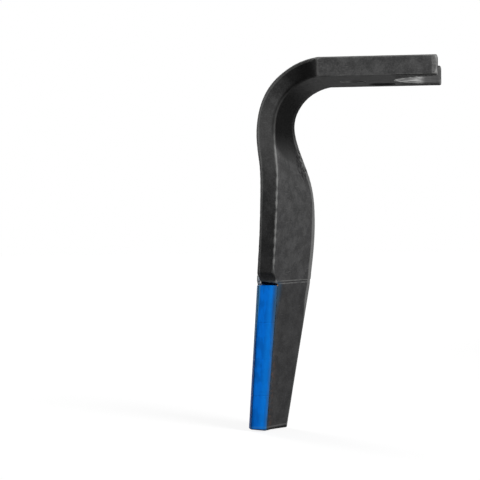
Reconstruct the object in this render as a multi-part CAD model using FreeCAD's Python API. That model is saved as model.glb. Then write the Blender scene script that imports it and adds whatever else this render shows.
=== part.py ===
import FreeCAD, Part

import math
import os

from FreeCAD import Vector

# Rotary harrow tine, in millimetres.
# The palm bolts up under the rotor and the blade hangs down from it.
# Origin: the pin hole's axis on the palm's top face. +Z is up, +X points to the palm's
# notched end, and -Y is the leading side, the one that meets the soil first.

# Overall sizes
HEIGHT = 313.0
PALM_WIDTH = 120.0
PALM_THICK = 16.0

# Palm plate
HOLE_DIAMETER = 20.0
HOLE_TO_END = 72.0
NOTCH_RADIUS = 42.0
NOTCH_CENTRE_PAST_END = 5.2
RECESS_MOUTH_DIAMETER = 24.0
RECESS_FLOOR_DIAMETER = 14.0
RECESS_DEPTH = 5.0
RECESS_FROM_HOLE_X = 22.5
RECESS_FROM_HOLE_Y = 34.6
PALM_EDGE_RADIUS = 1.5
PALM_CORNER_RADIUS = 2.0

# Bend from the palm into the blade: a quarter turn with a little twist.
# The trailing edge narrows by an eased amount on its way round.
BEND_INNER_RADIUS = 39.0
HOLE_TO_BEND = 24.0
BEND_END_TWIST = 5.6
TRAIL_NARROWING = 4.4
TRAIL_NARROWING_EASE = 1.5
BEND_SHARES = [0.0, 0.06, 0.14, 0.26, 0.42, 0.66, 1.0]

# Leading edge trimmed back round the bend: how deep in the end, and how soon
TRIM_DEPTH = 36.5
TRIM_RUN = 23.0

# Blade from the bend to the ledge. Each station gives its share of the way down,
# then how far the inner face's two corners have moved since the bend's end.
LEDGE_DROP = 186.2
LEDGE_THICK = 17.8
BLADE_STATIONS = [
    # share, lead x, lead y, trail x, trail y
    (0.2, 1.0, 3.6, 8.1, -2.3),
    (0.4, 0.75, 6.8, 16.5, -7.4),
    (0.6, -1.0, 10.1, 18.7, -12.1),
    (0.8, -3.0, 13.6, 17.3, -13.0),
    (1.0, -4.6, 16.8, 14.6, -13.7),
]

# Corner radii of the blade
LEAD_RADIUS = 1.5
TRAIL_RADIUS = 2.5

# Wear section below the ledge. Its sides are flat, so each keeps its direction while
# the section moves and narrows on its way down to a tilted end face.
TIP_SHIFT_X = -13.4
TIP_SHIFT_Y = 21.6
TIP_WIDTH = 34.5
TIP_THICK = 16.6
END_TILT = 3.7
TIP_EDGE_RADIUS = 1.2

# Nose along the wear section's leading side, which starts behind the blade's leading
# corner. One face leans forward to the nose's edge and the other leans back from it.
NOSE_STEP_BACK = 4.2
NOSE_LEAN = 26.5
NOSE_FACE_AT_LEDGE = 15.0
NOSE_FACE_AT_TIP = 12.6
HEEL_LEAN = 38.0

# Carbide tiles brazed into a straight seat that takes the nose off
TILE_COUNT = 4
TILE_JOINT = 0.4
SEAT_INNER_LIP = 2.0
SEAT_OUTER_LIP = 0.5
SEAT_DEPTH = 4.0

# Run-out above the first tile: an open groove, and a round scoop that leads into it
GROOVE_HEIGHT = 1.5
GROOVE_RISE = 1.9
SCOOP_RADIUS = 10.5
SCOOP_SHALLOWING = 2.7

# Cutters run past the surface that they cut by this much
CUT_PAST = 5.0


def unit(vector):
    return vector * (1.0 / vector.Length)


def flat_face(corners):
    return Part.Face(Part.makePolygon(corners + corners[:1]))


def flat_sided_solid(top, bottom):
    """Solid between two outlines of as many corners, with flat faces all round."""
    faces = [flat_face(top), flat_face(bottom)]
    for i in range(len(top)):
        faces.append(flat_face([top[i - 1], top[i], bottom[i], bottom[i - 1]]))
    return Part.Solid(Part.Shell(faces))


def beyond(point, along, across, outward):
    """Cutter for all that lies outward of the plane through the point.

    It is as large as the tine is high, so it reaches past every side of it.
    """
    corner = point - (along + across) * (HEIGHT / 2)
    edges = [Vector(), along * HEIGHT, (along + across) * HEIGHT, across * HEIGHT]
    return flat_face([corner + edge for edge in edges]).extrude(outward * HEIGHT)


def corner_arc(before, corner, after, radius):
    """Arc that rounds the corner between two straight edges."""
    back = unit(before - corner)
    ahead = unit(after - corner)
    half = back.getAngle(ahead) / 2.0
    reach = radius / math.tan(half)
    middle = corner + unit(back + ahead) * (radius / math.sin(half) - radius)
    return Part.Arc(corner + back * reach, middle, corner + ahead * reach).toShape()


def joined(arcs):
    """Closed wire of the arcs in turn, with straight edges between their nearest ends.

    Each arc goes in as two halves, which stay closer to a round than one long curve.
    """
    edges = []
    for arc, following in zip(arcs, arcs[1:] + arcs[:1]):
        ahead = following.CenterOfMass
        halves = arc.split((arc.FirstParameter + arc.LastParameter) / 2).Edges
        edges += sorted(halves, key=lambda half: -half.CenterOfMass.distanceToPoint(ahead))
        pairs = [(a.Point, b.Point) for a in arc.Vertexes for b in following.Vertexes]
        edges.append(Part.makeLine(*min(pairs, key=lambda pair: pair[0].distanceToPoint(pair[1]))))
    return Part.Wire(edges)


def corner_arcs(corners, radii):
    after = corners[1:] + corners[:1]
    return [corner_arc(corners[i - 1], corners[i], after[i], radii[i]) for i in range(len(corners))]


def nearest(edges, points):
    """For each point, the edge whose middle is nearest."""
    return [min(edges, key=lambda e: e.CenterOfMass.distanceToPoint(point)) for point in points]


def in_section(lead, trail, along, through):
    """A point by its distance along the inner face and its depth through the blade."""
    across = unit(trail - lead)
    return lead + across * along + Vector(-across.y, across.x, 0) * through


def palm():
    """Flat plate with rounded edges and the half-round notch that clears the hub."""
    back = -HOLE_TO_BEND - CUT_PAST
    corner = Vector(back, -PALM_WIDTH / 2, -PALM_THICK)
    plate = Part.makeBox(HOLE_TO_END - back, PALM_WIDTH, PALM_THICK, corner)
    notch_x = HOLE_TO_END + NOTCH_CENTRE_PAST_END
    plate = plate.cut(Part.makeCylinder(NOTCH_RADIUS, PALM_THICK, Vector(notch_x, 0, -PALM_THICK)))
    uprights = [e for e in plate.Edges if e.BoundBox.XMin > 0 and e.BoundBox.ZLength > PALM_THICK / 2
                and e.BoundBox.DiagonalLength < PALM_THICK + PALM_EDGE_RADIUS]
    plate = plate.makeFillet(PALM_CORNER_RADIUS, uprights)
    rims = [e for e in plate.Edges
            if e.BoundBox.ZLength < PALM_EDGE_RADIUS and e.BoundBox.XMax > -HOLE_TO_BEND]
    plate = plate.makeFillet(PALM_EDGE_RADIUS, rims)
    return plate.cut(Part.makeBox(CUT_PAST, PALM_WIDTH, PALM_THICK, corner))


def pin_hole():
    return Part.makeCylinder(HOLE_DIAMETER / 2, PALM_THICK, Vector(0, 0, -PALM_THICK))


def locating_recess():
    """Blind tapered recess in the palm's underside."""
    mouth = Vector(RECESS_FROM_HOLE_X, RECESS_FROM_HOLE_Y, -PALM_THICK)
    return Part.makeCone(
        RECESS_MOUTH_DIAMETER / 2, RECESS_FLOOR_DIAMETER / 2, RECESS_DEPTH, mouth
    )


def blade_radii(share):
    """Corner radii: the palm's own where the bend starts, the blade's where it ends."""
    goals = [LEAD_RADIUS, TRAIL_RADIUS, TRAIL_RADIUS, LEAD_RADIUS]
    return [PALM_EDGE_RADIUS + (goal - PALM_EDGE_RADIUS) * share for goal in goals]


def bend_section(share):
    """Inner lead, inner trail, outer trail and outer lead corners, part-way round."""
    turn = share * math.pi / 2
    twist = math.radians(BEND_END_TWIST) * share
    outward = Vector(-math.sin(turn), 0, math.cos(turn))
    centre = Vector(-HOLE_TO_BEND, 0, -PALM_THICK - BEND_INNER_RADIUS)
    run = (BEND_INNER_RADIUS + PALM_THICK / 2) * turn
    lead_y = -PALM_WIDTH / 2 + TRIM_DEPTH * (1 - math.exp(-run / TRIM_RUN))
    trail_y = PALM_WIDTH / 2 - TRAIL_NARROWING * share ** TRAIL_NARROWING_EASE
    across = Vector(0, math.cos(twist), 0) - outward * math.sin(twist)
    through = Vector(0, math.sin(twist), 0) + outward * math.cos(twist)
    lead = centre + outward * BEND_INNER_RADIUS + Vector(0, lead_y, 0)
    trail = lead + across * ((trail_y - lead_y) / math.cos(twist))
    return [lead, trail, trail + through * PALM_THICK, lead + through * PALM_THICK]


def blade_section(station):
    """The same four corners for a level section of the blade."""
    share, lead_x, lead_y, trail_x, trail_y = station
    foot_lead, foot_trail = bend_section(1.0)[:2]
    drop = (foot_lead.z + LEDGE_DROP) * share
    lead = foot_lead + Vector(lead_x, lead_y, -drop)
    trail = foot_trail + Vector(trail_x, trail_y, -drop)
    thick = PALM_THICK + (LEDGE_THICK - PALM_THICK) * share
    width = (trail - lead).Length
    return [lead, trail, in_section(lead, trail, width, thick), in_section(lead, trail, 0, thick)]


def bend_and_blade(block):
    """One smooth forging from the palm, round the bend and down to the ledge.

    Its last section takes the wear block's own trailing corners, so that the two meet.
    """
    sections = [(bend_section(share), blade_radii(share)) for share in BEND_SHARES]
    sections += [(blade_section(station), blade_radii(1.0)) for station in BLADE_STATIONS]
    rows = [corner_arcs(corners, radii) for corners, radii in sections]
    top = max(block.Faces, key=lambda face: face.CenterOfMass.z)
    rows[-1][1:3] = nearest(top.Edges, blade_section(BLADE_STATIONS[-1])[1:3])
    return Part.makeLoft([joined(arcs) for arcs in rows], True, False)


def wear_section(share):
    """Corners below the ledge: 0 is the ledge and 1 the tip.

    In order: inner lead, inner trail, outer trail, heel and nose.
    """
    ledge_lead, ledge_trail = blade_section(BLADE_STATIONS[-1])[:2]
    ledge_width = (ledge_trail - ledge_lead).Length - NOSE_STEP_BACK
    shift = Vector(TIP_SHIFT_X, TIP_SHIFT_Y, LEDGE_DROP - HEIGHT) * share
    lead = in_section(ledge_lead, ledge_trail, NOSE_STEP_BACK, 0) + shift
    trail = ledge_trail + shift

    def place(along, through):
        return in_section(lead, trail, along, through)

    width = ledge_width + (TIP_WIDTH - ledge_width) * share
    thick = LEDGE_THICK + (TIP_THICK - LEDGE_THICK) * share
    nose_face = NOSE_FACE_AT_LEDGE + (NOSE_FACE_AT_TIP - NOSE_FACE_AT_LEDGE) * share
    lean = math.radians(NOSE_LEAN)
    nose_along, nose_through = -nose_face * math.sin(lean), nose_face * math.cos(lean)
    heel_along = nose_along + (thick - nose_through) * math.tan(math.radians(HEEL_LEAN))
    return [
        lead,
        place(width, 0),
        place(width, thick),
        place(heel_along, thick),
        place(nose_along, nose_through),
    ]


def wear_block():
    """Straight tapering lower end, before the tile seat is cut from it."""
    past_tip = 1.0 + 2 * CUT_PAST / (HEIGHT - LEDGE_DROP)
    top, bottom = wear_section(0.0), wear_section(past_tip)
    block = flat_sided_solid(top, bottom)
    middles = [(a + b) / 2 for a, b in zip(top, bottom)]
    block = block.makeFillet(TRAIL_RADIUS, nearest(block.Edges, middles[1:3]))
    block = block.makeFillet(LEAD_RADIUS, nearest(block.Edges, middles[3:] + middles[:1]))
    tilt = math.radians(END_TILT)
    lowest = wear_section(1.0)[1]
    slope = Vector(-math.cos(tilt), 0, math.sin(tilt))
    block = block.cut(beyond(lowest, slope, Vector(0, 1, 0), Vector(0, 0, -1)))
    end_face = min(block.Faces, key=lambda face: face.CenterOfMass.z)
    return block.makeFillet(TIP_EDGE_RADIUS, end_face.Edges)


def groove_frame():
    """Leading inner corner at the groove's roof, and the roof's two directions."""
    lead, trail = wear_section(-GROOVE_HEIGHT / (HEIGHT - LEDGE_DROP))[:2]
    across = unit(trail - lead)
    return lead, across, Vector(-across.y, across.x, GROOVE_RISE / LEDGE_THICK)


def tile_seat():
    """Everything in front of the seat, from the groove's sloping roof to past the tip.

    Its round back is drawn square to the run, so it is part of a cylinder.
    """
    corner, across, roof = groove_frame()
    run = unit(wear_section(1.0)[0] - corner)
    through = unit(across.cross(run))
    back = run.cross(through)
    start = corner - run * (LEDGE_THICK + CUT_PAST)
    front = -NOSE_FACE_AT_LEDGE - CUT_PAST
    outer = LEDGE_THICK + CUT_PAST
    crown = (SEAT_INNER_LIP + SEAT_OUTER_LIP) / 2 + SEAT_DEPTH
    outline = [
        (SEAT_INNER_LIP, 0),
        (SEAT_INNER_LIP, -CUT_PAST),
        (front, -CUT_PAST),
        (front, outer),
        (SEAT_OUTER_LIP, outer),
        (SEAT_OUTER_LIP, LEDGE_THICK),
        (crown, LEDGE_THICK / 2),
    ]
    points = [start + back * a + through * t for a, t in outline]
    sides = [Part.makeLine(a, b) for a, b in zip(points[:5], points[1:6])]
    sides.append(Part.Arc(points[5], points[6], points[0]).toShape())
    seat = Part.Face(Part.Wire(sides)).extrude(run * HEIGHT)
    return seat.cut(beyond(corner, across, roof, Vector(0, 0, 1)))


def run_out_scoop():
    """Round cutter that hollows the leading face just above the groove."""
    corner, across, roof = groove_frame()
    run = roof * LEDGE_THICK - across * SCOOP_SHALLOWING
    start = corner - across * SCOOP_RADIUS - unit(run) * CUT_PAST
    return Part.makeCylinder(SCOOP_RADIUS, run.Length + 2 * CUT_PAST, start, unit(run))


def carbide_tiles(block, seat):
    """What fills the seat below the groove, parted into tiles by level brazed joints."""
    column = block.common(seat)
    box = column.BoundBox
    pitch = (HEIGHT - LEDGE_DROP) / TILE_COUNT
    tiles = []
    for i in range(TILE_COUNT):
        joint = 0 if i == 0 else TILE_JOINT
        corner = Vector(box.XMin, box.YMin, -LEDGE_DROP - (i + 1) * pitch)
        slab = Part.makeBox(box.XLength, box.YLength, pitch - joint, corner)
        tiles.append(column.common(slab))
    return tiles


def main():
    os.makedirs("parts", exist_ok=True)
    block = wear_block()
    seat = tile_seat()
    blade = bend_and_blade(block).cut(run_out_scoop())
    body = palm().fuse(blade).fuse(block).cut(seat)
    body = body.cut(pin_hole()).cut(locating_recess())
    body.exportStep("parts/tine_body.step")
    for i, tile in enumerate(carbide_tiles(block, seat), start=1):
        tile.exportStep(f"parts/carbide_tile_{i}.step")


main()
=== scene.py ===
import math
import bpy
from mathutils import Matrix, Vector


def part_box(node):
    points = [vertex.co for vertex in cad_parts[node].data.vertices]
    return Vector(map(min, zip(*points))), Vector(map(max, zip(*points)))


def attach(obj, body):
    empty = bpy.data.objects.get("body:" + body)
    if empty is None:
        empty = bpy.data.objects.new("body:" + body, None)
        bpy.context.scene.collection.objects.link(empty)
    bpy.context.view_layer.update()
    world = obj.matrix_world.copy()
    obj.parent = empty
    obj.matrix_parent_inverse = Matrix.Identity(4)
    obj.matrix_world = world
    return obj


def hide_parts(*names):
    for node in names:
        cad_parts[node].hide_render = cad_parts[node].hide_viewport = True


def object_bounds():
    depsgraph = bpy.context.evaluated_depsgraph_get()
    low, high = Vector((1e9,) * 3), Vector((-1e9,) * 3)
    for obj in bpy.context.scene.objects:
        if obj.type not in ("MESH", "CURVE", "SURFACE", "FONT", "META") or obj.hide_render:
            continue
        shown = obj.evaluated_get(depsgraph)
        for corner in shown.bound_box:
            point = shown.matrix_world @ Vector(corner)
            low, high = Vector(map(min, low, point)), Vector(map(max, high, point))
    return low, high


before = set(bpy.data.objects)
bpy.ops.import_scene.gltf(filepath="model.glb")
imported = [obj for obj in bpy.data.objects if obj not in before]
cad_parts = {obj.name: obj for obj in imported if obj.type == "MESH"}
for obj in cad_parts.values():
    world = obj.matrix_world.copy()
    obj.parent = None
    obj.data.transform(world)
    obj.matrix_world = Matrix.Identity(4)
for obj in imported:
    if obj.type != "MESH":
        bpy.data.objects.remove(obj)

from types import SimpleNamespace

import bmesh
import bpy
from mathutils import Matrix, Vector
from mathutils.bvhtree import BVHTree

bl_info = {
    "name": "Rotary harrow tine",
    "version": (1, 0, 0),
    "blender": (4, 5, 0),
    "location": "View3D > Sidebar > Tine",
    "description": "Dresses a rotary harrow tine's solids: forging, painted hard tiles, braze and studio",
    "category": "Object",
}

# The box round the imported solids
CAD_LOW, CAD_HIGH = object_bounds()

MILLIMETRE = 0.001
BODY = "root"
FORGING_NODE = "tine_body"
TILE_NODES = sorted(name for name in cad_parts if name.startswith("carbide_tile"))

# Solids are copied from loose triangles, whose doubled corners lie this close together
DOUBLES = 1e-6
# Corners this close to a tile's top face, or to the forging, count as touching it
TOUCHING = 0.05 * MILLIMETRE

# The tile row's outer edge: its place at the top and how it slants; the row's width there and its taper
ROW_TOP_Z = -0.1862
ROW_OUTER_X = -0.0826
ROW_SLANT = 0.087
ROW_WIDTH = 0.0179
ROW_TAPER = 0.019
# The run of braze up the outer corner, in millimetres from the bead's end
RUN_STEPS = ((-0.4, -1.2, -0.4), (-0.5, -2.0, 2.6), (-0.8, -4.0, 5.6), (-1.3, -5.6, 8.2))
# How much the bead widens and the run narrows towards the end, and over what share of the way
BEAD_GAIN = 0.9
RUN_GAIN = -0.7
GAIN_WAY = (0.5, 1.0)
# How finely a bead is cut along and round
BEAD_STEP = 0.3 * MILLIMETRE
BEAD_SIDES = 12
# The bend's axis runs along Y at this place, and its hollow side has this radius
BEND_AXIS_X = -0.024
BEND_AXIS_Z = -0.055
BEND_RADIUS = 0.039
# The bend's outer radius on the leading side
BEND_OUTSIDE = 0.0548
# The hub notch and the pin hole, both along Z
HUB_X = 0.0772
HUB_RADIUS = 0.042
PIN_RADIUS = 0.010

# The skin: how soft the ledge is, and how far from the tiles it starts
LEDGE_SOFT = (-0.0006, 0.0006)
LEDGE_FROM_TILES = (0.002, 0.005)
# Rounds of evening out: for an edge mark on the forging and on a tile, and to smooth either
FORGING_REACH = 6
TILE_REACH = 3
MARK_ROUNDS = 3

# Camera: fitted to the photographed tine's place and size
CAMERA_AT = (0.1080, -1.352, -0.1245)
CAMERA_YAW = 8.61
CAMERA_PITCH = -0.975
CAMERA_ROLL = -0.50
FOCAL_PIXELS = 1615
IMAGE_PIXELS = 480
SENSOR_WIDTH = 36.0

# Lamps, from the object's middle: the key at the front right and a back light at the left
KEY_FROM_MIDDLE = (1.10, -1.03, 0.42)
BACK_FROM_MIDDLE = (-1.05, 1.15, 0.55)
LAMP_SIZE = 0.7
# How far out the floor's glow begins to rise, and where it is full
GLOW_RISES = (0.9, 1.9)
FLOOR_SIDES = 96

# Finish: a mark is nothing at a span's first value and full at its second; four values have an end too

# Places are in metres along X, Y or Z unless a comment says otherwise, and noise runs from 0 to 1

# Painted shade, flaked soot, the tip's darker rim, darker sunken edges and painted shade down the blade,
# from black to dark grey
DEEP_SHADE = (0.001, 0.001, 0.001)
SHADE = (0.002, 0.002, 0.002)
FLAKED_SOOT = (0.003, 0.003, 0.003)
TIP_RIM_DARK = (0.004, 0.004, 0.004)
SUNKEN_DARK = (0.006, 0.006, 0.006)
LOWER_SHADE = (0.008, 0.008, 0.009)

# Scale: noise at which it is pale, and how pale it is there
PALE_BLOTS = (0.36, 0.68)
BLOTS_SHARE = 0.55
PALE_SPECKS = (0.40, 0.70)
SPECKS_SHARE = 0.40
# Noise at which it is dotted and scratched
DOTS = (0.68, 0.78)
SCRATCHED = (0.64, 0.82)
HAIRLINED = (0.66, 0.82)

# Painted shade in the hollow of the bend: distance from the bend's axis, X from it, and Z from it with a
# ragged end
HOLLOW_DEPTH = (BEND_RADIUS + 0.004, BEND_RADIUS + 0.001)
HOLLOW_X = (-0.006, -0.030)
HOLLOW_Z = (-0.040, 0.0)
HOLLOW_RAGGED = 0.014

# The leading side's edge moves in along Y round the bend: where it ends up, and how far out it starts
TRIM_END = -0.0249
TRIM_MOVE = -0.0351
# The turn in radians where it starts, and the turn over which it eases
TRIM_TURN = 0.035
TRIM_EASE = 0.40
# Painted shade on it where the bend starts: distance from that edge, turn, and X
START_DEPTH = (0.0035, 0.0012)
START_TURN = (0.75, 0.25)
START_X = (-0.0225, -0.0250)

# Painted sheen on the leading side: its lean, Y with that, and Z
SIDE_SHEEN_LEAN = 0.17
SIDE_SHEEN_Y = (-0.0304, -0.0324)
SIDE_SHEEN_Z = (-0.105, -0.075, -0.050, -0.020)

# Painted shade that darkens the blade downwards and again at the ledge
LOWER_SHADE_Z = (-0.06, -0.18)
BELOW_LEDGE_SHADE_Z = (-0.180, -0.186)
LOWER_SHADE_SHARE = 0.22

# Flaked soot where the bend ends
FLAKED_X = (-0.062, -0.058)
FLAKED_Y = (0.022, 0.036)
FLAKED_Z = (-0.102, -0.092, -0.074, -0.064)
FLAKED_NOISE = (0.46, 0.56)

# Millimetres that an edge stands out, where it is worn and has a painted highlight, or in, where it is
# darker
SUNKEN_EDGE = (-0.05, -0.45)
BRIGHT_EDGE = (0.30, 0.42)
# What blots and specks add to those millimetres, so that the bright edges are uneven
RUB_BLOTS = 0.10
RUB_SPECKS = 0.06

# Lines that move with the height: a start, then stretches of Z with their gain, each eased or even
EASED = True
EVEN = False
TRAIL_LINE = (0.0417, (
    (-0.145, -0.098, 0.0065, EASED), (-0.100, -0.068, 0.0040, EASED),
    (-0.050, -0.030, 0.0040, EASED), (-0.200, -0.300, 0.0045, EVEN),
))
TRAIL_SHEEN_WIDTH = (0.0018, ((-0.225, -0.190, 0.0034, EASED), (-0.100, -0.068, 0.0050, EASED)))
INNER_FACE = (0.0386, ((-0.100, -0.060, 0.0200, EASED), (-0.170, -0.300, 0.0226, EVEN)))
LEAD_LINE = (0.0775, ((-0.085, -0.062, 0.0015, EASED), (-0.105, -0.178, 0.0046, EVEN)))

# Painted sheen on the trailing edge: distance along Y past its line, X past the inner face, Z, and how
# bright it is
TRAIL_SHEEN_START = (0.0, 0.0014)
TRAIL_SHEEN_END = (0.0034, 0.0014)
TRAIL_SHEEN_SPECKS = 0.0006
TRAIL_SHEEN_X = (-0.0085, -0.0065)
TRAIL_SHEEN_Z = (-0.0185, -0.0225)
TRAIL_SHEEN_SHARE = 0.75
# The bend's outer face gets no painted sheen: distance from the bend's axis, and Z
NO_SHEEN_DEPTH = (0.0445, 0.0465)
NO_SHEEN_Z = (-0.060, -0.056)

# Edges that stay dark: the bend's inner edge under the painted shade, by distance from its axis, X and Z,
# and the scoop
SHADED_EDGE_DEPTH = (0.051, 0.047)
SHADED_EDGE_X = (-0.008, -0.018)
SHADED_EDGE_Z = (-0.075, -0.050)
SCOOP_Y = (0.006, 0.004)
SCOOP_Z = (-0.1815, -0.1805, -0.174, -0.171)
SPARED = 0.85
# Edges this many millimetres from the tiles are under paint
RUBBED_FROM_TILES = (0.8, 2.2)

# The ledge's two bright lines: drop of the second, half width, breaks, and millimetres from the tiles
LEDGE_DROPS = (0.0, 0.0022)
LEDGE_WIDTH = (0.00065, 0.00015)
LEDGE_BREAKS = (0.30, 0.55)
LEDGE_TO_TILE = (1.5, 3.0)

# The painted highlight on the leading side: distance inside the outline, Z where that leaves the bend, and X
LINE_WIDTH = (0.0005, 0.0012, 0.0022, 0.0030)
LEAVES_BEND_Z = (-0.056, -0.064)
LINE_X = (-0.026, -0.030)
# The side's lean, Y with that, Z, and breaks
LINE_LEAN = 0.183
LINE_Y = (-0.0306, -0.0322)
LINE_Z = (-0.180, -0.176)
LINE_BREAKS = (0.25, 0.50)

# The corner between palm and leading side, the painted highlights on the palm's notched end, and the shade
# under that end
CORNER_X = (-0.0254, -0.0247, -0.0234, -0.0226)
CORNER_Y = (-0.0565, -0.0580)
END_HIGHLIGHT_X = (0.0668, 0.0680, 0.0704, 0.0712)
END_HIGHLIGHT_Y = (0.0585, 0.0595)
END_HIGHLIGHT_BREAKS = (0.30, 0.55)
SHADE_X = (0.034, 0.040)
SHADE_Z = (-0.0170, -0.0163, -0.0158, -0.0152)

# Machined walls: distance past the radius, Z, noise of the tool marks, and X where they are dull
CUT_DEPTH = (0.0009, 0.0003)
CUT_Z = (-0.018, -0.0155)
TOOL_MARKS = (0.38, 0.66)
DULL_X = (0.051, 0.060)

# The tip's rim: Z of its bright line and of its darker end, and how uneven both are
TIP_LINE_Z = (-0.3098, -0.3094, -0.3087, -0.3080)
TIP_DARK_Z = (-0.3099, -0.3106)
TIP_UNEVEN = 0.0008
TIP_DARK_SHARE = 0.85

# How far bare steel shines as metal, and what the bright edges and cutting take off the roughness
STEEL_METAL = 0.25
RUBBED_SMOOTH = 0.14
CUT_SMOOTH = 0.15
# What blots and the hollow of the bend add to the roughness, and what is taken off beforehand
ROUGH_BLOTS = 0.22
ROUGH_HOLLOW = 0.2
ROUGH_LESS = 0.10

# Rust: millimetres to the tiles, Z and noise
RUST_TO_TILE = (7.0, 0.6)
RUST_Z = (-0.23, -0.27)
RUST_NOISE = (0.48, 0.66)
# Mist of paint: millimetres to the tiles, raggedness, Z where it shrinks and by how much, and its top
MIST_TO_TILE = (9.0, 0.5)
MIST_RAGGED = 2.2
MIST_SHRINKS_Z = (-0.190, -0.213)
MIST_SHRINKS = 4.0
MIST_TOP_Z = (-0.1800, -0.1865)

# Painted shade on the paint: distance from the outer edge where it is darker, how wavy that is, and how dark
# it gets
OUTER_SHADE_WIDTH = (0.0068, 0.0025)
OUTER_SHADE_WAVES = 0.003
OUTER_SHADE_SHARE = 0.86
# Noise at which the paint lies thick in patches, and how thick
THICK_NOISE = (0.58, 0.42)
PATCH_SHARE = 0.40
# Distance from the inner edge where painted light makes it lighter and where it fades, and how that widens
# over Z
LIT_WIDTH = (0.0085, 0.0045)
FADE_WIDTH = (0.0044, 0.0004)
FADE_WAVES = 0.0016
FADE_MOVES = (0.0, ((-0.200, -0.250, 0.0011, EASED),))
# The painted sheen on the outer edge: its width over Z, its softness and its lower end, and knocks in
# millimetres
OUTER_SHEEN_WIDTH = (0.0, ((-0.262, -0.195, 0.0034, EASED),))
OUTER_SHEEN_SOFT = (0.0, 0.0004)
OUTER_SHEEN_CLOUDS = 0.0006
OUTER_SHEEN_Z = (-0.268, -0.240)
CHIPPED = (0.42, 0.49)
CHIP_NOISE = 0.30
# What the clouds add to the paint's roughness, and what is taken off beforehand
PAINT_CLOUDS = 0.14
PAINT_LESS = 0.06

# Braze: share of the way along a bead where it is bare, its noise, and bare spots elsewhere
BARE_WAY = (0.11, 0.02)
BARE_NOISE = (0.38, 0.52)
BARE_SPOTS = (0.62, 0.70)
SPOTS_SHARE = 0.5
# Noise at which paint has splashed it, and share of the way and noise where a pale glint is painted
SPLASHED = (0.44, 0.56)
GLINT_WAY = (0.86, 0.98)
GLINT_NOISE = (0.66, 0.46)
# How far bare brass shines as metal, the flux's roughness, and what bareness takes off it
BRASS_METAL = 0.7
FLUX_ROUGH = 1.6 / 2.6
BRASS_SMOOTH = 1.0 / 2.6


def length_property(name, description, default, limit):
    """A length in metres that shows in the scene's unit."""
    return bpy.props.FloatProperty(
        name=name, description=description, default=default, min=0.0, max=limit,
        unit="LENGTH", subtype="DISTANCE", precision=5,
    )


def colour_property(name, description, default):
    return bpy.props.FloatVectorProperty(
        name=name, description=description, default=default, min=0.0, max=1.0,
        size=3, subtype="COLOR",
    )


def share_property(name, description, default):
    return bpy.props.FloatProperty(
        name=name, description=description, default=default, min=0.0, max=1.0, subtype="FACTOR",
    )


def power_property(name, description, default):
    return bpy.props.FloatProperty(
        name=name, description=description, default=default, min=0.0, subtype="POWER", unit="POWER",
    )


class TineForgingSettings(bpy.types.PropertyGroup):
    """The forging's skin and finish"""

    grain: length_property("Mesh size", "Edge length of the forging's mesh", 0.00105, 0.01)
    waviness: length_property("Waviness", "How deep the hammered skin waves", 0.00022, 0.002)
    wave_size: length_property("Wave size", "Width of one wave of the skin", 0.016, 0.1)
    ledge_step: length_property("Ledge step", "How far the lower end stands back", 0.0004, 0.002)
    ledge_height: bpy.props.FloatProperty(
        name="Ledge height", description="Height of the ledge across the blade", default=-0.1827,
        unit="LENGTH", subtype="DISTANCE", precision=5,
    )
    steel: colour_property("Scale", "Dark skin of the forging", (0.030, 0.030, 0.0302))
    pale_steel: colour_property("Pale scale", "Lighter patches of the skin", (0.072, 0.072, 0.0722))
    worn_steel_and_sheen: colour_property("Worn edge", "Rubbed edges of the forging", (0.16, 0.16, 0.158))
    cut_steel: colour_property("Cut steel", "Machined wall of the notch and the hole", (0.26, 0.26, 0.256))
    rust: colour_property("Rust", "Thin rust beside the tiles", (0.16, 0.065, 0.03))
    roughness: share_property("Roughness", "Roughness of the skin", 0.70)
    shine: share_property("Shine", "Specular level of the skin, where 0.5 is plain", 0.03)


class TineTileSettings(bpy.types.PropertyGroup):
    """The painted tiles"""

    grain: length_property("Mesh size", "Edge length of a tile's mesh", 0.00045, 0.01)
    joint_inset: length_property("Joint inset", "How far the filled joints lie back", 0.0001, 0.001)
    waviness: length_property("Waviness", "How unevenly the paint lies", 0.00006, 0.001)
    wave_size: length_property("Wave size", "Width of one wave of the paint", 0.005, 0.1)
    paint: colour_property("Paint", "Blue paint on the tiles", (0.001, 0.140, 0.61))
    deep_paint_and_shade: colour_property("Deep paint", "Blue paint where it lies thick", (0.0006, 0.062, 0.27))
    painted_lit_blue: colour_property("Thin paint", "Blue paint where it lies thin", (0.004, 0.200, 0.72))
    mist_paint: colour_property("Paint mist", "Dark blue of the overspray", (0.020, 0.052, 0.092))
    pale_edge_paint: colour_property("Rubbed paint", "Pale blue of the outer edge", (0.040, 0.175, 0.350))
    chip: colour_property("Chip", "Ground metal where the paint is knocked off", (0.12, 0.12, 0.125))
    roughness: share_property("Roughness", "Roughness of the paint", 0.45)
    gloss: share_property("Gloss", "Specular level of the paint, where 0.5 is plain", 0.05)


class TineBrazeSettings(bpy.types.PropertyGroup):
    """The braze round the tiles"""

    bead_radius: length_property("Bead radius", "Radius of the bead in the groove", 0.0007, 0.005)
    run_radius: length_property("Run radius", "Radius of the run at the outer corner", 0.0014, 0.005)
    braze: colour_property("Braze", "Brass of the bead", (0.16, 0.08, 0.033))
    flux: colour_property("Flux", "Burnt flux on the bead", (0.012, 0.011, 0.012))
    pale_glint: colour_property("Ash", "Pale flux on the run at the outer corner", (0.22, 0.24, 0.25))


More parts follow.
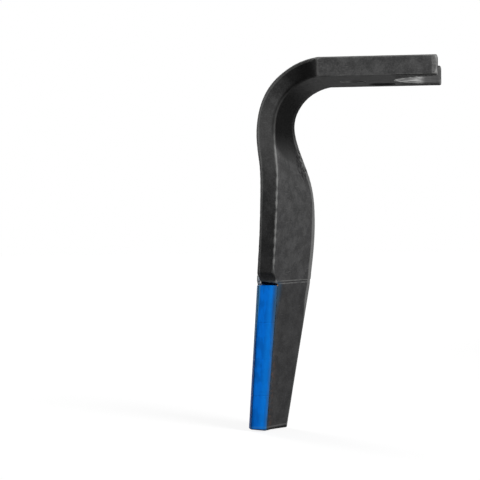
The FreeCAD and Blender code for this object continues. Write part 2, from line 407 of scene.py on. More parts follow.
class TineStageSettings(bpy.types.PropertyGroup):
    """The studio"""

    floor: colour_property("Floor", "Colour of the floor in soft light", (0.20, 0.20, 0.20))
    near_glow: share_property("Near glow", "Brightness that the floor near the tine shows directly", 0.840)
    far_glow: share_property("Far glow", "Brightness that the floor far off shows directly", 0.985)
    floor_radius: length_property("Floor radius", "Radius of the floor", 6.0, 50.0)
    sky: share_property("Sky", "Strength of the soft light from all round", 0.16)
    key_watts: power_property("Key", "Power of the large lamp at the front right", 36.5)
    back_watts: power_property("Back light", "Power of the lamp behind at the left", 20.0)


# Node helpers

def give(tree, socket, value):
    """Feeds an input with a field, another node's output or a plain value."""
    if isinstance(value, Field):
        value = value.socket
    if isinstance(value, bpy.types.NodeSocket):
        tree.links.new(value, socket)
    elif socket.type == "RGBA":
        socket.default_value = (*value, 1.0)
    else:
        socket.default_value = value


def add(tree, kind, inputs=None, **settings):
    """A new node: its settings, then its inputs by name or index."""
    node = tree.nodes.new(kind)
    for name, value in settings.items():
        setattr(node, name, value)
    for name, value in (inputs or {}).items():
        give(tree, node.inputs[name], value)
    return node


class Field:
    """A number that varies over a surface. Sums and products of fields build the nodes for them."""

    def __init__(self, tree, socket):
        self.tree = tree
        self.socket = socket

    def maths(self, operation, *values, clamp=False):
        inputs = dict(enumerate(values))
        node = add(self.tree, "ShaderNodeMath", inputs, operation=operation, use_clamp=clamp)
        return Field(self.tree, node.outputs[0])

    def __add__(self, other):
        return self.maths("ADD", self, other)

    def __sub__(self, other):
        return self.maths("SUBTRACT", self, other)

    def __rsub__(self, other):
        return self.maths("SUBTRACT", other, self)

    def __mul__(self, other):
        return self.maths("MULTIPLY", self, other)

    def __truediv__(self, other):
        return self.maths("DIVIDE", self, other)

    def __rtruediv__(self, other):
        return self.maths("DIVIDE", other, self)

    def most(self, other):
        return self.maths("MAXIMUM", self, other)

    def clamped(self):
        return self.maths("ADD", self, 0.0, clamp=True)

    def size(self):
        return self.maths("ABSOLUTE", self)

    def step(self, none, full, eased=True):
        """0 at none and beyond it, 1 at full and beyond it; full may be the smaller."""
        node = add(
            self.tree, "ShaderNodeMapRange", {"Value": self, "From Min": none, "From Max": full},
            interpolation_type="SMOOTHSTEP" if eased else "LINEAR", clamp=True,
        )
        return Field(self.tree, node.outputs[0])

    def band(self, none, full, ending, ended):
        """1 from full to ending and 0 outside none and ended."""
        return self.step(none, full) * self.step(ended, ending)

    def moved(self, start, stretches):
        """A start, with what each stretch of this field adds to it."""
        line = None
        for none, full, gain, eased in stretches:
            part = self.step(none, full, eased) * gain
            line = part + start if line is None else line + part
        return line


def distance(first, second):
    """How far a point lies from an axis, by its two coordinates from it."""
    squares = first * first + second * second
    return squares.maths("SQRT", squares)


def coordinates(tree, place):
    outputs = add(tree, "ShaderNodeSeparateXYZ", {0: place}).outputs
    return [Field(tree, output) for output in outputs]


def noise(tree, place, size=1.0, detail=3.0, roughness=0.5):
    """Noise whose blots are about size metres wide, from 0 to 1."""
    inputs = {"Vector": place, "Scale": 1.0 / size, "Detail": detail, "Roughness": roughness}
    return Field(tree, add(tree, "ShaderNodeTexNoise", inputs).outputs[0])


def seeded_noise(tree, place, scale, seed):
    inputs = {"Vector": place, "W": seed, "Scale": scale, "Detail": 2.0}
    return Field(tree, add(tree, "ShaderNodeTexNoise", inputs, noise_dimensions="4D").outputs[0])


def drawn_out(tree, place, scale, turn=(0.0, 0.0, 0.0), **look):
    """Noise drawn out along an axis, where its scale, in blots per metre, is small."""
    mapped = add(tree, "ShaderNodeMapping", {"Vector": place, "Rotation": turn, "Scale": scale})
    return noise(tree, mapped.outputs[0], **look)


def attribute(tree, name):
    return Field(tree, add(tree, "ShaderNodeAttribute", attribute_name=name).outputs["Fac"])


def blend(factor, below, above):
    """Two colours mixed by a field."""
    inputs = {0: factor, 6: below, 7: above}
    return add(factor.tree, "ShaderNodeMix", inputs, data_type="RGBA").outputs[2]


def layered(colour, layers):
    """A colour with layers over it in turn: each has a mask, the share that it covers and a colour."""
    for mask, share, above in layers:
        colour = blend(mask * share, colour, above)
    return colour


def new_material(name):
    """A material with its tree emptied, its surface shader and its object coordinates."""
    material = bpy.data.materials.new(name)
    material.use_nodes = True
    tree = material.node_tree
    tree.nodes.clear()
    surface = add(tree, "ShaderNodeBsdfPrincipled")
    add(tree, "ShaderNodeOutputMaterial", {"Surface": surface.outputs[0]})
    place = add(tree, "ShaderNodeTexCoord").outputs["Object"]
    return material, tree, surface, place


def set_surface(tree, surface, values, bumps):
    """Sets the shader's inputs, and its bumps in turn, each a field from 0 to 1 and its depth."""
    for name, value in values.items():
        give(tree, surface.inputs[name], value)
    normal = None
    for height, depth in bumps:
        bump = add(tree, "ShaderNodeBump", {"Height": height, "Distance": depth, "Strength": 1.0})
        if normal is not None:
            give(tree, bump.inputs["Normal"], normal)
        normal = bump.outputs[0]
    give(tree, surface.inputs["Normal"], normal)


# The forging's marks

def forging_spot(tree, place):
    """Where a point of the forging lies, with the noises that several marks share."""
    across, along, height = coordinates(tree, place)
    from_axis_x = across - BEND_AXIS_X
    from_axis_z = height - BEND_AXIS_Z
    return SimpleNamespace(
        across=across, along=along, height=height,
        from_axis_x=from_axis_x, from_axis_z=from_axis_z,
        from_axis=distance(from_axis_x, from_axis_z),
        edge=attribute(tree, "edge"),
        to_tile=attribute(tree, "to_tile"),
        blots=noise(tree, place, size=0.010, detail=5.0, roughness=0.66),
        speckle=noise(tree, place, size=0.0011, roughness=0.65),
        scratches=drawn_out(tree, place, (110, 110, 1100), (0.5, 0.4, 0.0), detail=2.0),
        hairlines=drawn_out(tree, place, (60, 900, 900), (0.0, 0.2, 0.1), detail=2.0),
    )


def pale_scale(spot):
    pale = spot.blots.step(*PALE_BLOTS) * BLOTS_SHARE + spot.speckle.step(*PALE_SPECKS) * SPECKS_SHARE
    pale = pale + spot.scratches.step(*SCRATCHED) + spot.hairlines.step(*HAIRLINED)
    return pale.clamped()


def painted_hollow_shade(spot):
    """Painted shade: dark inside the bend, under the palm."""
    foot = spot.from_axis_z + (spot.blots - 0.5) * HOLLOW_RAGGED
    return spot.from_axis.step(*HOLLOW_DEPTH) * spot.from_axis_x.step(*HOLLOW_X) * foot.step(*HOLLOW_Z)


def painted_start_shade(spot):
    """Painted shade on the leading side where the bend starts."""
    turn = spot.from_axis_x.maths("ARCTAN2", spot.from_axis_x * -1.0, spot.from_axis_z)
    eased = (TRIM_TURN - turn) / TRIM_EASE
    edge_line = eased.maths("EXPONENT", eased) * TRIM_MOVE + TRIM_END
    soot = (spot.along - edge_line).step(*START_DEPTH)
    return soot * turn.step(*START_TURN) * spot.across.step(*START_X)


def painted_side_sheen(spot):
    """Painted sheen: below the bend the leading side is lighter."""
    side = spot.along + spot.height * SIDE_SHEEN_LEAN
    return spot.height.band(*SIDE_SHEEN_Z) * side.step(*SIDE_SHEEN_Y)


def painted_lower_shade(spot):
    """Painted shade: the blade darkens downwards, most of all below the ledge."""
    return (spot.height.step(*LOWER_SHADE_Z) + spot.height.step(*BELOW_LEDGE_SHADE_Z)) * LOWER_SHADE_SHARE


def flaked_soot(tree, place, spot):
    """Soot has flaked in patches where the bend ends."""
    zone = spot.height.band(*FLAKED_Z) * spot.along.step(*FLAKED_Y) * spot.across.step(*FLAKED_X)
    return zone * noise(tree, place, size=0.0032, detail=4.0, roughness=0.7).step(*FLAKED_NOISE)


def trailing_sheen(spot, flaked):
    """A painted sheen in a wide band along the trailing edge."""
    past_line = spot.along - spot.height.moved(*TRAIL_LINE) + spot.speckle * TRAIL_SHEEN_SPECKS
    past_start = past_line + spot.height.moved(*TRAIL_SHEEN_WIDTH)
    inward = spot.across + spot.height.moved(*INNER_FACE)
    no_sheen = spot.from_axis.step(*NO_SHEEN_DEPTH) * spot.height.step(*NO_SHEEN_Z)
    sheen = past_start.step(*TRAIL_SHEEN_START) * past_line.step(*TRAIL_SHEEN_END) * inward.step(*TRAIL_SHEEN_X)
    return sheen * spot.height.step(*TRAIL_SHEEN_Z) * (1.0 - flaked) * (1.0 - no_sheen)


def ledge_lines(tree, place, spot, ledge_height):
    """Two fine bright lines run along the ledge."""
    zone = drawn_out(tree, place, (160, 160, 900), detail=2.0).step(*LEDGE_BREAKS)
    zone = zone * spot.to_tile.step(*LEDGE_TO_TILE)
    lines = [(spot.height - (ledge_height - drop)).size().step(*LEDGE_WIDTH) for drop in LEDGE_DROPS]
    return lines[0].most(lines[1]) * zone


def leading_highlight(spot):
    """A painted highlight: a fine bright line just inside the round of the leading side's outer edge."""
    in_bend = BEND_OUTSIDE - spot.from_axis
    on_blade = spot.across + spot.height.moved(*LEAD_LINE)
    inside = (on_blade - in_bend) * spot.height.step(*LEAVES_BEND_Z) + in_bend
    side = spot.along + spot.height * LINE_LEAN
    zone = spot.across.step(*LINE_X) * side.step(*LINE_Y) * spot.height.step(*LINE_Z)
    return inside.band(*LINE_WIDTH) * zone * spot.speckle.step(*LINE_BREAKS)


def wear_and_highlights(tree, place, spot, flaked, ledge_height):
    """Everything that is bright: raised edges, worn and with painted highlights, apart from those that stay
    dark, the trailing edge's painted sheen, and lines.
    """
    worn_and_lit = (spot.edge + spot.blots * RUB_BLOTS + spot.speckle * RUB_SPECKS).step(*BRIGHT_EDGE)
    # Painted sheen along the trailing edge
    worn_and_lit = worn_and_lit.most(trailing_sheen(spot, flaked) * TRAIL_SHEEN_SHARE)
    shaded_edge = spot.from_axis.step(*SHADED_EDGE_DEPTH) * spot.height.step(*SHADED_EDGE_Z) * spot.across.step(*SHADED_EDGE_X)
    scoop = spot.height.band(*SCOOP_Z) * spot.along.step(*SCOOP_Y)
    worn_and_lit = worn_and_lit * (1.0 - shaded_edge * SPARED) * (1.0 - scoop * SPARED) * spot.to_tile.step(*RUBBED_FROM_TILES)
    corner = spot.across.band(*CORNER_X) * spot.along.step(*CORNER_Y)
    # Painted highlights on the corners of the palm's notched end, on both sides
    end_highlight = spot.across.band(*END_HIGHLIGHT_X) * spot.along.size().step(*END_HIGHLIGHT_Y)
    end_highlight = end_highlight * spot.speckle.step(*END_HIGHLIGHT_BREAKS)
    for mark, share in (
        (ledge_lines(tree, place, spot, ledge_height), 0.7),
        (leading_highlight(spot), 0.8),
        (corner, 0.5),
        (end_highlight, 0.6),
    ):
        worn_and_lit = worn_and_lit.most(mark * share)
    return worn_and_lit


def cut_walls(tree, place, spot, settings):
    """The notch and the hole are machined through the plate: their mask and their colour."""
    past_hub = distance(spot.across - HUB_X, spot.along) - HUB_RADIUS
    past_pin = distance(spot.across, spot.along) - PIN_RADIUS
    cut = past_hub.step(*CUT_DEPTH).most(past_pin.step(*CUT_DEPTH)) * spot.height.step(*CUT_Z)
    tool_marks = drawn_out(tree, place, (70, 70, 1500), roughness=0.6)
    colour = layered(settings.pale_steel, (
        (tool_marks.step(*TOOL_MARKS), 1.0, settings.cut_steel),
        (spot.across.step(*DULL_X), 0.92, settings.steel),
    ))
    return cut, colour


def tip_rim(height, speckle):
    """Two masks round the tip: a bright line just above the lower rim, and the darker rim itself."""
    uneven = height + (speckle - 0.5) * TIP_UNEVEN
    return uneven.band(*TIP_LINE_Z), uneven.step(*TIP_DARK_Z)


def rust_patches(tree, place, spot):
    """Rust low down beside the tiles."""
    spots = noise(tree, place, size=0.004, detail=4.0, roughness=0.6).step(*RUST_NOISE)
    return spots * spot.to_tile.step(*RUST_TO_TILE) * spot.height.step(*RUST_Z)


def paint_mist(tree, place, spot):
    """A mist of paint beside the tiles, which gets narrower downwards."""
    ragged = noise(tree, place, size=0.0022, roughness=0.6) * MIST_RAGGED
    reach = spot.to_tile + ragged + spot.height.step(*MIST_SHRINKS_Z) * MIST_SHRINKS
    return reach.step(*MIST_TO_TILE) * spot.height.step(*MIST_TOP_Z)


# Materials

def forged_steel(settings, mist_paint):
    """Dark scale with pale blots, worn edges with painted highlights and sheen, painted shade in the bend
    and down the blade, cut walls, and paint mist and rust beside the tiles.
    """
    material, tree, surface, place = new_material("forged_scale")
    spot = forging_spot(tree, place)
    hollow = painted_hollow_shade(spot)
    flaked = flaked_soot(tree, place, spot)
    worn_and_lit = wear_and_highlights(tree, place, spot, flaked, settings.ledge_height)
    shade = spot.height.band(*SHADE_Z) * spot.across.step(*SHADE_X)
    cut, cut_colour = cut_walls(tree, place, spot, settings)
    tip_line, dark_rim = tip_rim(spot.height, spot.speckle)
    colour = layered(settings.steel, (
        (pale_scale(spot), 1.0, settings.pale_steel),
        (spot.speckle.step(*DOTS), 0.5, settings.worn_steel_and_sheen),
        # Painted shade in the hollow of the bend
        (hollow, 0.97, DEEP_SHADE),
        # Painted shade on the leading side where the bend starts
        (painted_start_shade(spot), 0.55, DEEP_SHADE),
        # Painted sheen on the leading side
        (painted_side_sheen(spot), 0.14, settings.worn_steel_and_sheen),
        # Painted shade, darker down the blade
        (painted_lower_shade(spot), 1.0, LOWER_SHADE),
        (flaked, 0.8, FLAKED_SOOT),
        # Darker where an edge is sunken
        (spot.edge.step(*SUNKEN_EDGE), 0.6, SUNKEN_DARK),
        # Worn edges with painted highlights, and the painted sheen on the trailing edge
        (worn_and_lit, 0.75, settings.worn_steel_and_sheen),
        (shade, 0.9, SHADE),
        (cut, 1.0, cut_colour),
        # A bright line round the tip, and its darker lowest rim
        (tip_line, 0.28, settings.worn_steel_and_sheen),
        (dark_rim, TIP_DARK_SHARE, TIP_RIM_DARK),
        (rust_patches(tree, place, spot), 0.35, settings.rust),
        (paint_mist(tree, place, spot), 0.85, mist_paint),
    ))
    rough = spot.blots * ROUGH_BLOTS + (settings.roughness - ROUGH_LESS)
    rough = rough - worn_and_lit * RUBBED_SMOOTH + hollow * ROUGH_HOLLOW
    set_surface(tree, surface, {
        "Base Color": colour,
        "Specular IOR Level": settings.shine,
        "Metallic": worn_and_lit.most(cut) * STEEL_METAL,
        "Roughness": rough.clamped() - cut * CUT_SMOOTH,
    }, (
        (spot.blots, 0.00030),
        (spot.speckle, 0.00006),
        (spot.scratches, 0.00004),
    ))
    return material


def tile_paint(settings):
    """Blue paint over ground tiles: streaks down the run, painted shade at the outer edge, painted light
    towards the inner, thick patches, and a painted sheen on the outer edge.
    """
    material, tree, surface, place = new_material("tile_paint")
    across, _, height = coordinates(tree, place)
    streaks = drawn_out(tree, place, (420, 420, 26), roughness=0.55)
    cloud = noise(tree, place, size=0.009)
    speckle = noise(tree, place, size=0.0008, detail=2.0)

    # How far a point lies from the row's outer edge, which slants with the height, and from the inner
    below_top = height - ROW_TOP_Z
    from_outer = across - ROW_OUTER_X - below_top * ROW_SLANT
    from_inner = below_top * ROW_TAPER + ROW_WIDTH - from_outer + (streaks - 0.5) * FADE_WAVES

    # Painted shade darkens the paint near the outer edge, and thick patches of deep paint lie at random
    deep_shade_and_patches = (from_outer + streaks * OUTER_SHADE_WAVES).step(*OUTER_SHADE_WIDTH) * OUTER_SHADE_SHARE
    deep_shade_and_patches = deep_shade_and_patches + ((streaks + cloud) * 0.5).step(*THICK_NOISE) * PATCH_SHARE
    # Towards the inner edge painted light makes it lighter, and then it thins into a mist
    lit_side = from_inner.step(*LIT_WIDTH)
    fading = (from_inner + height.moved(*FADE_MOVES)).step(*FADE_WIDTH)
    # A painted sheen makes the outer edge pale near the top, and knocks lay the metal bare
    pale = (height.moved(*OUTER_SHEEN_WIDTH) - from_outer + cloud * OUTER_SHEEN_CLOUDS).step(*OUTER_SHEEN_SOFT)
    knocks = noise(tree, place, size=0.0030, detail=4.0, roughness=0.7) * CHIP_NOISE
    chipped = (attribute(tree, "edge") + knocks).step(*CHIPPED)
    tip_line, dark_rim = tip_rim(height, speckle)
    colour = layered(settings.paint, (
        # Painted shade near the outer edge with thick patches, then painted light towards the inner edge
        (deep_shade_and_patches.clamped(), 1.0, settings.deep_paint_and_shade),
        (lit_side, 0.55, settings.painted_lit_blue),
        (fading, 0.94, settings.mist_paint),
        # Painted sheen along the outer edge near the top
        (pale * height.step(*OUTER_SHEEN_Z), 0.9, settings.pale_edge_paint),
        # A bright line round the tip, and its darker lowest rim
        (tip_line, 0.35, settings.pale_edge_paint),
        (dark_rim, TIP_DARK_SHARE, settings.mist_paint),
        (chipped, 0.6, settings.chip),
    ))
    set_surface(tree, surface, {
        "Base Color": colour,
        "Specular IOR Level": settings.gloss,
        "Roughness": cloud * PAINT_CLOUDS + (settings.roughness - PAINT_LESS),
    }, (
        (streaks, 0.00006),
        (cloud, 0.00010),
        (speckle, 0.00001),
    ))
    return material


def braze_metal(settings, painted):
    """Burnt flux with splashes of paint: brass shows at the inner end, and a painted pale glint at the
    outer.
    """
    material, tree, surface, place = new_material("braze_metal")
    way = attribute(tree, "along")
    blots = noise(tree, place, size=0.0018, detail=4.0, roughness=0.6)
    bare = way.step(*BARE_WAY) * blots.step(*BARE_NOISE)
    bare = bare.most(blots.step(*BARE_SPOTS) * SPOTS_SHARE)
    splashes = noise(tree, place, size=0.0035).step(*SPLASHED)
    colour = layered(settings.flux, (
        (splashes, 0.6, painted.deep_paint_and_shade),
        (bare, 1.0, settings.braze),
        # Painted glint on the run at the outer corner
        (way.step(*GLINT_WAY) * blots.step(*GLINT_NOISE), 1.0, settings.pale_glint),
    ))
    set_surface(tree, surface, {
        "Base Color": colour,
        "Specular IOR Level": painted.gloss,
        "Metallic": bare * BRASS_METAL,
        "Roughness": FLUX_ROUGH - bare * BRASS_SMOOTH,
    }, (
        (noise(tree, place, size=0.0007, roughness=0.6), 0.00006),
    ))
    return material


# Shapes

def merged_mesh(node):
    """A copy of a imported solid's mesh, with its loose triangles joined into closed shells."""
    mesh = bmesh.new()
    mesh.from_mesh(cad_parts[node].data)
    bmesh.ops.remove_doubles(mesh, verts=mesh.verts, dist=DOUBLES)
    return mesh


def new_object(name, mesh):
    """Puts a bmesh in the scene as a new object at the origin."""
    data = bpy.data.meshes.new(name)
    mesh.to_mesh(data)
    mesh.free()
    piece = bpy.data.objects.new(name, data)
    bpy.context.scene.collection.objects.link(piece)
    return piece


def make_plain(piece):
    """Turns what the modifiers show into the piece's own mesh, and takes them off."""
    graph = bpy.context.evaluated_depsgraph_get()
    shown = piece.evaluated_get(graph)
    data = bpy.data.meshes.new_from_object(shown, preserve_all_data_layers=True, depsgraph=graph)
    old = piece.data
    piece.modifiers.clear()
    piece.data = data
    data.name = piece.name
    bpy.data.meshes.remove(old)


def new_tree(name, inputs):
    """A geometry tree with named inputs, each with its kind and default, and those inputs as fields."""
    tree = bpy.data.node_groups.new(name, "GeometryNodeTree")
    for label, (kind, default) in inputs.items():
        socket = tree.interface.new_socket(name=label, in_out="INPUT", socket_type=f"NodeSocket{kind}")
        if default is not None:
            socket.default_value = default
    outputs = add(tree, "NodeGroupInput").outputs
    return tree, {label: Field(tree, outputs[label]) for label in inputs}


def set_inputs(modifier, values):
    """Sets the tree's named inputs by their sockets' identifiers."""
    sockets = {s.name: s.identifier for s in modifier.node_group.interface.items_tree
               if s.item_type == "SOCKET" and s.in_out == "INPUT"}
    for name, value in values.items():
        modifier[sockets[name]] = value


def finish_tree(tree, geometry, material):
    """Ends a tree: plain geometry, smooth faces and their material."""
    whole = add(tree, "GeometryNodeRealizeInstances", {"Geometry": geometry})
    smooth = add(tree, "GeometryNodeSetShadeSmooth", {"Geometry": whole.outputs[0]})
    dressed = add(tree, "GeometryNodeSetMaterial", {"Geometry": smooth.outputs[0], "Material": material})
    tree.interface.new_socket(name="Geometry", in_out="OUTPUT", socket_type="NodeSocketGeometry")
    add(tree, "NodeGroupOutput", {0: dressed.outputs[0]})


def in_use(sockets, name):
    """The socket of this name that fits the node's kind of data."""
    return next(s for s in sockets if s.name == name and s.enabled)


def store(tree, geometry, name, value):
    """Geometry with a number stored at each corner."""
    node = add(
        tree, "GeometryNodeStoreNamedAttribute", {"Geometry": geometry, "Name": name},
        data_type="FLOAT", domain="POINT",
    )
    give(tree, in_use(node.inputs, "Value"), value)
    return node.outputs[0]


def evened(tree, value, kind, rounds):
    """A value evened out over the mesh."""
    node = add(tree, "GeometryNodeBlurAttribute", {"Iterations": rounds}, data_type=kind)
    give(tree, in_use(node.inputs, "Value"), value)
    return in_use(node.outputs, "Value")


def standing_out(tree, place, normal, rounds):
    """How far a corner stands out from the mesh round it, in metres."""
    around = evened(tree, place, "FLOAT_VECTOR", rounds)
    above = add(tree, "ShaderNodeVectorMath", {0: place, 1: around}, operation="SUBTRACT").outputs[0]
    out = add(tree, "ShaderNodeVectorMath", {0: above, 1: normal}, operation="DOT_PRODUCT")
    return Field(tree, evened(tree, out.outputs["Value"], "FLOAT", MARK_ROUNDS))


def skin_tree():
    """Uneven skin: sinks it by noise and below the ledge, and marks edges and the way to the tiles.

    The marks are in millimetres: edge is how far a point stands out from its
    surroundings, and to_tile is its distance from the tiles.
    """
    tree, given = new_tree("uneven_skin", {
        "Geometry": ("Geometry", None),
        "Waviness": ("Float", 0.0002),
        "Wave size": ("Float", 0.015),
        "Seed": ("Float", 0.0),
        "Ledge step": ("Float", 0.0),
        "Ledge height": ("Float", 0.0),
        "Edge reach": ("Int", FORGING_REACH),
        "Tiles": ("Object", None),
        "Material": ("Material", None),
    })
    place = add(tree, "GeometryNodeInputPosition").outputs[0]
    normal = add(tree, "GeometryNodeInputNormal").outputs[0]
    waves = seeded_noise(tree, place, 1.0 / given["Wave size"], given["Seed"])
    tiles = add(tree, "GeometryNodeObjectInfo", {"Object": given["Tiles"]}).outputs["Geometry"]
    nearest = add(tree, "GeometryNodeProximity", {0: tiles}, target_element="FACES").outputs["Distance"]
    nearest = Field(tree, nearest)
    height = coordinates(tree, place)[2]
    lower = (given["Ledge height"] - height).step(*LEDGE_SOFT) * nearest.step(*LEDGE_FROM_TILES)
    depth = waves * -1.0 * given["Waviness"] - lower * given["Ledge step"]
    offset = add(tree, "ShaderNodeVectorMath", {0: normal, "Scale": depth}, operation="SCALE").outputs[0]
    sunk = add(tree, "GeometryNodeSetPosition", {"Geometry": given["Geometry"], "Offset": offset}).outputs[0]

    out = standing_out(tree, place, normal, given["Edge reach"])
    marked = store(tree, sunk, "edge", out / MILLIMETRE)
    marked = store(tree, marked, "to_tile", nearest / MILLIMETRE)
    finish_tree(tree, marked, given["Material"])
    return tree


def dress(piece, node, settings, tree, extra):
    """Gives a copy of a solid a fine even mesh with the uneven skin, and makes the result plain."""
    remesh = piece.modifiers.new("even_mesh", "REMESH")
    remesh.mode = "VOXEL"
    remesh.voxel_size = settings.grain
    fit = piece.modifiers.new("onto_solid", "SHRINKWRAP")
    fit.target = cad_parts[node]
    fit.wrap_method = "NEAREST_SURFACEPOINT"
    skin = piece.modifiers.new("skin", "NODES")
    skin.node_group = tree
    set_inputs(skin, {"Waviness": settings.waviness, "Wave size": settings.wave_size, **extra})
    make_plain(piece)


def top_ring(node):
    """Corners of a tile's level top face, in turn round it."""
    mesh = merged_mesh(node)
    top = max(vertex.co.z for vertex in mesh.verts)
    ring = [vertex.co.copy() for vertex in mesh.verts if top - vertex.co.z < TOUCHING]
    mesh.free()
    centre = sum(ring, Vector()) / len(ring)
    return sorted(ring, key=lambda p: math.atan2(p.y - centre.y, p.x - centre.x))


def seat_line(ring, forging):
    """Those of the ring's corners that touch the forging, from the inner end to the outer."""
    touching = [p for p in ring if forging.find_nearest(p)[3] < TOUCHING]
    far = max(((a, b) for a in touching for b in touching), key=lambda ab: (ab[0] - ab[1]).length)
    run = (far[1] - far[0]).normalized()
    return sorted(touching, key=lambda p: p.dot(run), reverse=run.x > 0)


def bead_tree():
    """A bead of uneven thickness that follows the given line and marks how far along it is."""
    tree, given = new_tree("braze_bead", {
        "Geometry": ("Geometry", None),
        "Radius": ("Float", 0.0007),
        "End gain": ("Float", 0.0),
        "Start mark": ("Float", 0.0),
        "Unevenness": ("Float", 0.6),
        "Lumps": ("Float", 400.0),
        "Seed": ("Float", 0.0),
        "Material": ("Material", None),
    })
    line = add(tree, "GeometryNodeMeshToCurve", {"Mesh": given["Geometry"]}).outputs[0]
    even = add(tree, "GeometryNodeResampleCurve", {"Curve": line, "Length": BEAD_STEP}, mode="LENGTH")
    way = Field(tree, add(tree, "GeometryNodeSplineParameter").outputs["Factor"])
    place = add(tree, "GeometryNodeInputPosition").outputs[0]
    lumps = seeded_noise(tree, place, given["Lumps"], given["Seed"])
    share = (lumps - 0.5) * given["Unevenness"] + 1.0 + way.step(*GAIN_WAY) * given["End gain"]
    mark = given["Start mark"] + way * (1.0 - given["Start mark"])
    marked = store(tree, even.outputs[0], "along", mark)
    deep_shade_and_patches = add(
        tree, "GeometryNodeSetCurveRadius", {"Curve": marked, "Radius": share * given["Radius"]},
    )
    section = add(tree, "GeometryNodeCurvePrimitiveCircle", {"Resolution": BEAD_SIDES, "Radius": 1.0})
    bead = add(
        tree, "GeometryNodeCurveToMesh",
        {"Curve": deep_shade_and_patches.outputs[0], "Profile Curve": section.outputs[0], "Fill Caps": True},
    )
    if "Scale" in bead.inputs:
        give(tree, bead.inputs["Scale"], add(tree, "GeometryNodeInputRadius").outputs[0])
    finish_tree(tree, bead.outputs[0], given["Material"])
    return tree


def add_slab(mesh, ring, inset, low, high):
    """Adds a thin slab to a mesh, over a level ring and a little inside it."""
    centre = sum(ring, Vector()) / len(ring)
    levels = []
    for height in (low, high):
        corners = []
        for point in ring:
            place = point - (point - centre).normalized() * inset
            corners.append(mesh.verts.new((place.x, place.y, height)))
        levels.append(corners)
    foot, head = levels
    mesh.faces.new(reversed(foot))
    mesh.faces.new(head)
    for first, second in zip(range(len(ring)), [*range(1, len(ring)), 0]):
        mesh.faces.new((foot[first], foot[second], head[second], head[first]))


def laid_bead(name, points, values):
    """A bead along a line of points, as a plain piece."""
    line = bmesh.new()
    corners = [line.verts.new(point) for point in points]
    for start, end in zip(corners, corners[1:]):
        line.edges.new((start, end))
    piece = new_object(name, line)
    bead = piece.modifiers.new("bead", "NODES")
    bead.node_group = bead_tree()
    set_inputs(bead, values)
    make_plain(piece)
    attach(piece, BODY)


# Operators, one for each group of pieces and one for the stage

class TINE_OT_tiles(bpy.types.Operator):
    """Dresses the four tiles and fills the joints between them"""

    bl_idname = "tine.tiles"
    bl_label = "Tiles"

    def execute(self, context):
        settings = context.scene.tine_tiles
        material = tile_paint(settings)
        tree = skin_tree()
        joints = bmesh.new()
        for upper, lower in zip(TILE_NODES, TILE_NODES[1:]):
            floor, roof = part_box(lower)[1][2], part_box(upper)[0][2]
            low, high = floor - settings.grain, roof + settings.grain
            add_slab(joints, top_ring(lower), settings.joint_inset, low, high)
        filler = new_object("joint_braze", joints)
        filler.data.materials.append(material)
        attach(filler, BODY)
        for number, node in enumerate(TILE_NODES, start=1):
            piece = new_object(f"hard_tile_{number}", merged_mesh(node))
            dress(piece, node, settings, tree, {
                "Seed": float(number),
                "Ledge step": 0.0,
                "Edge reach": TILE_REACH,
                "Tiles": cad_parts[node],
                "Material": material,
            })
            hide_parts(node)
            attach(piece, BODY)
        return {"FINISHED"}


class TINE_OT_forging(bpy.types.Operator):
    """Dresses the forging from palm to tip"""

    bl_idname = "tine.forging"
    bl_label = "Forging"

    def execute(self, context):
        settings = context.scene.tine_forging
        mist = context.scene.tine_tiles.mist_paint
        row = bmesh.new()
        for node in TILE_NODES:
            row.from_mesh(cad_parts[node].data)
        tiles = new_object("tile_row", row)
        piece = new_object("forged_tine", merged_mesh(FORGING_NODE))
        dress(piece, FORGING_NODE, settings, skin_tree(), {
            "Seed": 0.0,
            "Ledge step": settings.ledge_step,
            "Ledge height": settings.ledge_height,
            "Edge reach": FORGING_REACH,
            "Tiles": tiles,
            "Material": forged_steel(settings, mist),
        })
        bpy.data.objects.remove(tiles)
        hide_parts(FORGING_NODE)
        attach(piece, BODY)
        return {"FINISHED"}


class TINE_OT_braze(bpy.types.Operator):
    """Runs a bead of braze along the foot of the groove, behind the first tile"""

    bl_idname = "tine.braze"
    bl_label = "Braze"

    def execute(self, context):
        settings = context.scene.tine_braze
        forging = merged_mesh(FORGING_NODE)
        surface = BVHTree.FromBMesh(forging)
        forging.free()
        foot = seat_line(top_ring(TILE_NODES[0]), surface)
        if len(foot) < 2:
            raise RuntimeError("the first tile's top face doesn't touch the forging")
        material = braze_metal(settings, context.scene.tine_tiles)
        laid_bead("braze_bead", foot, {
            "Radius": settings.bead_radius,
            "End gain": BEAD_GAIN,
            "Material": material,
        })
        outer_end = [foot[-1] + Vector(step) * MILLIMETRE for step in RUN_STEPS]
        laid_bead("braze_run", outer_end, {
            "Radius": settings.run_radius,
            "End gain": RUN_GAIN,
            "Start mark": 1.0,
            "Material": material,
        })
        return {"FINISHED"}


def aimed(location, target):
    """Placement of a lamp that shines from one point to another."""
    away = Vector(location) - Vector(target)
    return Matrix.Translation(location) @ away.to_track_quat("Z", "Y").to_matrix().to_4x4()


def add_lamp(name, from_target, target, watts):
    """A round lamp of even light, aimed at a point from some way off it."""
    data = bpy.data.lights.new(name, "AREA")
    data.shape = "DISK"
    data.size = LAMP_SIZE
    data.energy = watts
    lamp = bpy.data.objects.new(name, data)
    lamp.matrix_world = aimed(target + Vector(from_target), target)
    bpy.context.scene.collection.objects.link(lamp)


def seen_directly(tree):
    """1 for what the camera sees, straight or in a mirror or glass, and 0 for soft light."""
    path = add(tree, "ShaderNodeLightPath").outputs
    seen = Field(tree, path["Is Camera Ray"])
    return seen.most(path["Is Glossy Ray"]).most(path["Is Transmission Ray"])


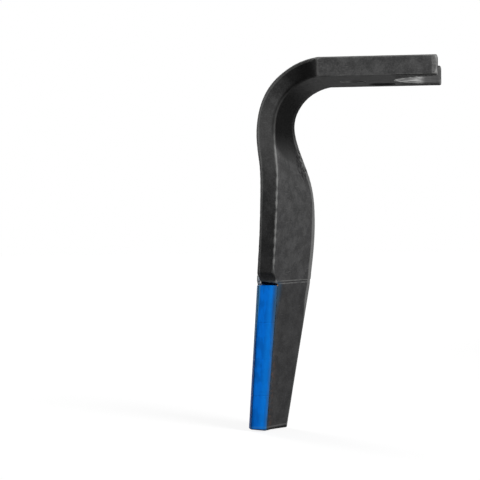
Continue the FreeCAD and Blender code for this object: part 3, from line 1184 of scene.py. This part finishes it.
def floor_material(settings):
    """Floor that looks pale where it is seen, keeps soft shadows and throws little light back."""
    material = bpy.data.materials.new("floor")
    material.use_nodes = True
    tree = material.node_tree
    tree.nodes.clear()
    matt = add(tree, "ShaderNodeBsdfDiffuse", {"Color": settings.floor})
    place = add(tree, "ShaderNodeTexCoord").outputs["Object"]
    far = add(tree, "ShaderNodeVectorMath", {0: place}, operation="LENGTH").outputs["Value"]
    rise = Field(tree, far).step(*GLOW_RISES)
    brightness = rise * (settings.far_glow - settings.near_glow) + settings.near_glow
    glow = add(tree, "ShaderNodeEmission", {"Strength": seen_directly(tree) * brightness})
    both = add(tree, "ShaderNodeAddShader", {0: matt.outputs[0], 1: glow.outputs[0]})
    add(tree, "ShaderNodeOutputMaterial", {"Surface": both.outputs[0]})
    return material


def add_floor(settings):
    """A pale disc under the tine's tip."""
    disc = bmesh.new()
    bmesh.ops.create_circle(disc, cap_ends=True, segments=FLOOR_SIDES, radius=settings.floor_radius)
    bmesh.ops.translate(disc, verts=disc.verts, vec=(0, 0, CAD_LOW.z))
    floor = new_object("floor", disc)
    floor.data.materials.append(floor_material(settings))


def add_sky(settings):
    """Even light from all round, which looks white where it is seen."""
    world = bpy.data.worlds.new("studio")
    world.use_nodes = True
    bpy.context.scene.world = world
    tree = world.node_tree
    tree.nodes.clear()
    strength = seen_directly(tree) * (1.0 - settings.sky) + settings.sky
    sky = add(tree, "ShaderNodeBackground", {"Color": (1.0, 1.0, 1.0), "Strength": strength})
    add(tree, "ShaderNodeOutputWorld", {"Surface": sky.outputs[0]})


def add_camera():
    """A camera at the photograph's place and angle."""
    data = bpy.data.cameras.new("camera")
    data.sensor_width = SENSOR_WIDTH
    data.lens = FOCAL_PIXELS / IMAGE_PIXELS * SENSOR_WIDTH
    camera = bpy.data.objects.new("camera", data)
    turn = Matrix.Rotation(math.radians(CAMERA_YAW), 4, "Z")
    tilt = Matrix.Rotation(math.radians(90 + CAMERA_PITCH), 4, "X")
    roll = Matrix.Rotation(math.radians(CAMERA_ROLL), 4, "Z")
    camera.matrix_world = Matrix.Translation(CAMERA_AT) @ turn @ tilt @ roll
    bpy.context.scene.collection.objects.link(camera)
    bpy.context.scene.camera = camera


class TINE_OT_stage(bpy.types.Operator):
    """Sets up the floor, the soft light and the camera"""

    bl_idname = "tine.stage"
    bl_label = "Stage"

    def execute(self, context):
        settings = context.scene.tine_stage
        context.scene.view_settings.view_transform = "Standard"
        add_floor(settings)
        add_sky(settings)
        middle = (CAD_LOW + CAD_HIGH) / 2
        add_lamp("key", KEY_FROM_MIDDLE, middle, settings.key_watts)
        add_lamp("back", BACK_FROM_MIDDLE, middle, settings.back_watts)
        add_camera()
        return {"FINISHED"}


class TINE_PT_panel(bpy.types.Panel):
    """Sizes, colours and buttons for the tine"""

    bl_idname = "TINE_PT_panel"
    bl_label = "Rotary harrow tine"
    bl_space_type = "VIEW_3D"
    bl_region_type = "UI"
    bl_category = "Tine"

    def draw(self, context):
        for name, (group, operator) in STEPS.items():
            box = self.layout.box()
            settings = getattr(context.scene, name)
            for prop in group.__annotations__:
                box.prop(settings, prop)
            box.operator(operator.bl_idname)


# The scene's groups of settings, each with the operator that reads it
STEPS = {
    "tine_tiles": (TineTileSettings, TINE_OT_tiles),
    "tine_forging": (TineForgingSettings, TINE_OT_forging),
    "tine_braze": (TineBrazeSettings, TINE_OT_braze),
    "tine_stage": (TineStageSettings, TINE_OT_stage),
}
CLASSES = (*(each for step in STEPS.values() for each in step), TINE_PT_panel)


def register():
    for each in CLASSES:
        bpy.utils.register_class(each)
    for name, (group, _) in STEPS.items():
        setattr(bpy.types.Scene, name, bpy.props.PointerProperty(type=group))


def unregister():
    for name in STEPS:
        delattr(bpy.types.Scene, name)
    for each in reversed(CLASSES):
        bpy.utils.unregister_class(each)


def main():
    register()
    bpy.ops.tine.tiles()
    bpy.ops.tine.forging()
    bpy.ops.tine.braze()
    bpy.ops.tine.stage()


if __name__ == "__main__":
    main()
